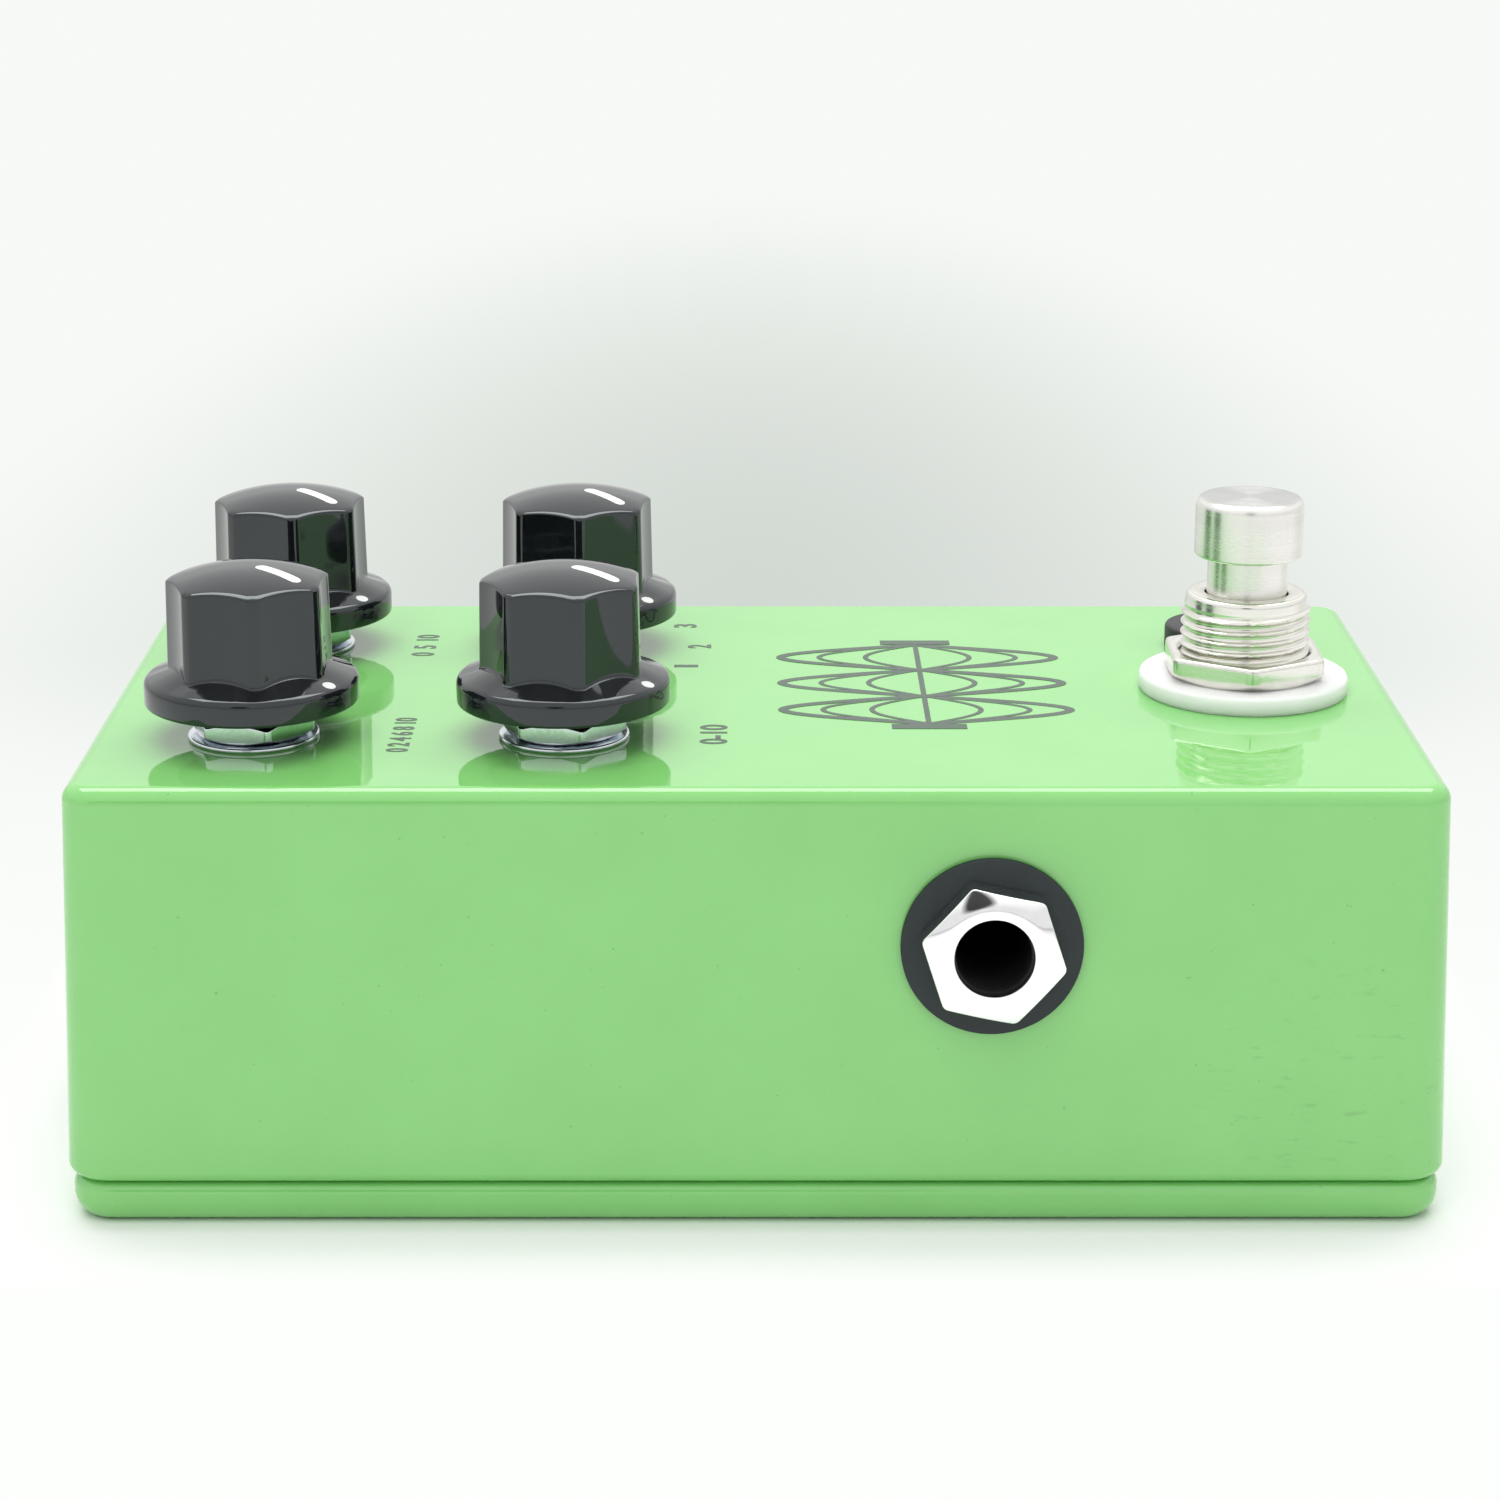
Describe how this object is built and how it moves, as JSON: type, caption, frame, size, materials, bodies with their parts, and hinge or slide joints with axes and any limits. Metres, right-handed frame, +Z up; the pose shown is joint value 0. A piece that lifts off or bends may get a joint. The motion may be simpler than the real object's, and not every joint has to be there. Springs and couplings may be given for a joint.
{
  "type": "guitar effects pedal",
  "caption": "Guitar effects pedal in a drafted die-cast box, with skirted seven-sided knobs, a stomp switch, a status light, side phone jacks and an end power socket.",
  "frame": {"origin": "middle of the base, on the surface that the pedal stands on", "axes": "+X along the box towards the stomp switch, +Y across it towards the input jack, +Z up"},
  "size_m": [0.1252, 0.0726, 0.0585],
  "materials": {
    "green_paint": "gloss",
    "black_gloss_plastic": "moulded, high gloss",
    "zinc_plate": "bright zinc plate",
    "satin_nickel": "satin nickel",
    "bright_chrome": "bright chrome",
    "white_nylon": "moulded nylon",
    "black_matte_plastic": "moulded, matte",
    "black_fibre": "pressed fibre",
    "brass": "turned",
    "spring_steel": "oiled",
    "aluminium_shaft": "turned",
    "steel_case": "drawn",
    "tinned_brass": "tinned",
    "blue_plastic": "moulded",
    "clear_lens": "clear",
    "board_laminate": "solder mask",
    "chip_plastic": "moulded",
    "capacitor_sleeve": "shrink sleeve",
    "resistor_body": "lacquered",
    "wire_sleeve": "PVC sleeve"
  },
  "bodies": {
    "chassis": {"enclosure_body": "green_paint", "bottom_cover": "green_paint", "cover_screws": "zinc_plate", "control_lugs": "tinned_brass", "control_nuts": "zinc_plate", "control_lock_washers": "zinc_plate", "control_flat_washers": "zinc_plate", "footswitch_spring": "spring_steel", "footswitch_bushing": "satin_nickel", "footswitch_nut": "satin_nickel", "footswitch_washer": "white_nylon", "footswitch_inner_nut": "satin_nickel", "footswitch_lock_washer": "zinc_plate", "footswitch_frame": "zinc_plate", "footswitch_case": "blue_plastic", "footswitch_lugs": "tinned_brass", "led_bezel": "black_matte_plastic", "led_lamp": "clear_lens", "led_bezel_nut": "black_matte_plastic", "dc_socket_body": "black_matte_plastic", "dc_socket_nut": "black_matte_plastic", "dc_socket_contacts": "tinned_brass", "circuit_board": "board_laminate", "amplifier_chip": "chip_plastic", "capacitors": "capacitor_sleeve", "resistors": "resistor_body", "hookup_wires": "wire_sleeve", "volume_bushing": "zinc_plate", "volume_case": "steel_case", "drive_bushing": "zinc_plate", "drive_case": "steel_case", "tone_bushing": "zinc_plate", "tone_case": "steel_case", "mode_bushing": "zinc_plate", "mode_case": "black_matte_plastic", "output_jack_body": "black_matte_plastic", "output_jack_nut": "bright_chrome", "output_jack_washer": "black_fibre", "output_jack_contacts": "tinned_brass", "input_jack_body": "black_matte_plastic", "input_jack_nut": "bright_chrome", "input_jack_washer": "black_fibre", "input_jack_contacts": "tinned_brass"},
    "volume_control": {"volume_knob": "black_gloss_plastic", "volume_insert": "brass", "volume_grub_screw": "spring_steel", "volume_shaft": "aluminium_shaft"},
    "drive_control": {"drive_knob": "black_gloss_plastic", "drive_insert": "brass", "drive_grub_screw": "spring_steel", "drive_shaft": "aluminium_shaft"},
    "tone_control": {"tone_knob": "black_gloss_plastic", "tone_insert": "brass", "tone_grub_screw": "spring_steel", "tone_shaft": "aluminium_shaft"},
    "mode_control": {"mode_knob": "black_gloss_plastic", "mode_insert": "brass", "mode_grub_screw": "spring_steel", "mode_shaft": "aluminium_shaft"},
    "stomp_plunger": {"footswitch_plunger": "satin_nickel"}
  },
  "joints": [
    {"name": "volume_turn", "type": "hinge", "parent": "chassis", "child": "volume_control", "pos_m": [-0.045, -0.0154, 0.04], "axis": [0, 0, -1], "range_deg": [0, 300]},
    {"name": "drive_turn", "type": "hinge", "parent": "chassis", "child": "drive_control", "pos_m": [-0.045, 0.0154, 0.04], "axis": [0, 0, -1], "range_deg": [0, 300]},
    {"name": "tone_turn", "type": "hinge", "parent": "chassis", "child": "tone_control", "pos_m": [-0.0172, -0.0154, 0.04], "axis": [0, 0, -1], "range_deg": [0, 300]},
    {"name": "mode_turn", "type": "hinge", "parent": "chassis", "child": "mode_control", "pos_m": [-0.0172, 0.0154, 0.04], "axis": [0, 0, 1], "range_deg": [0, 70]},
    {"name": "footswitch_press", "type": "slide", "parent": "chassis", "child": "stomp_plunger", "axis": [0, 0, -1], "range_m": [0, 0.0028], "stiffness_N_per_m": 800, "springref_m": -0.004, "deforming": ["footswitch_spring"]}
  ]
}
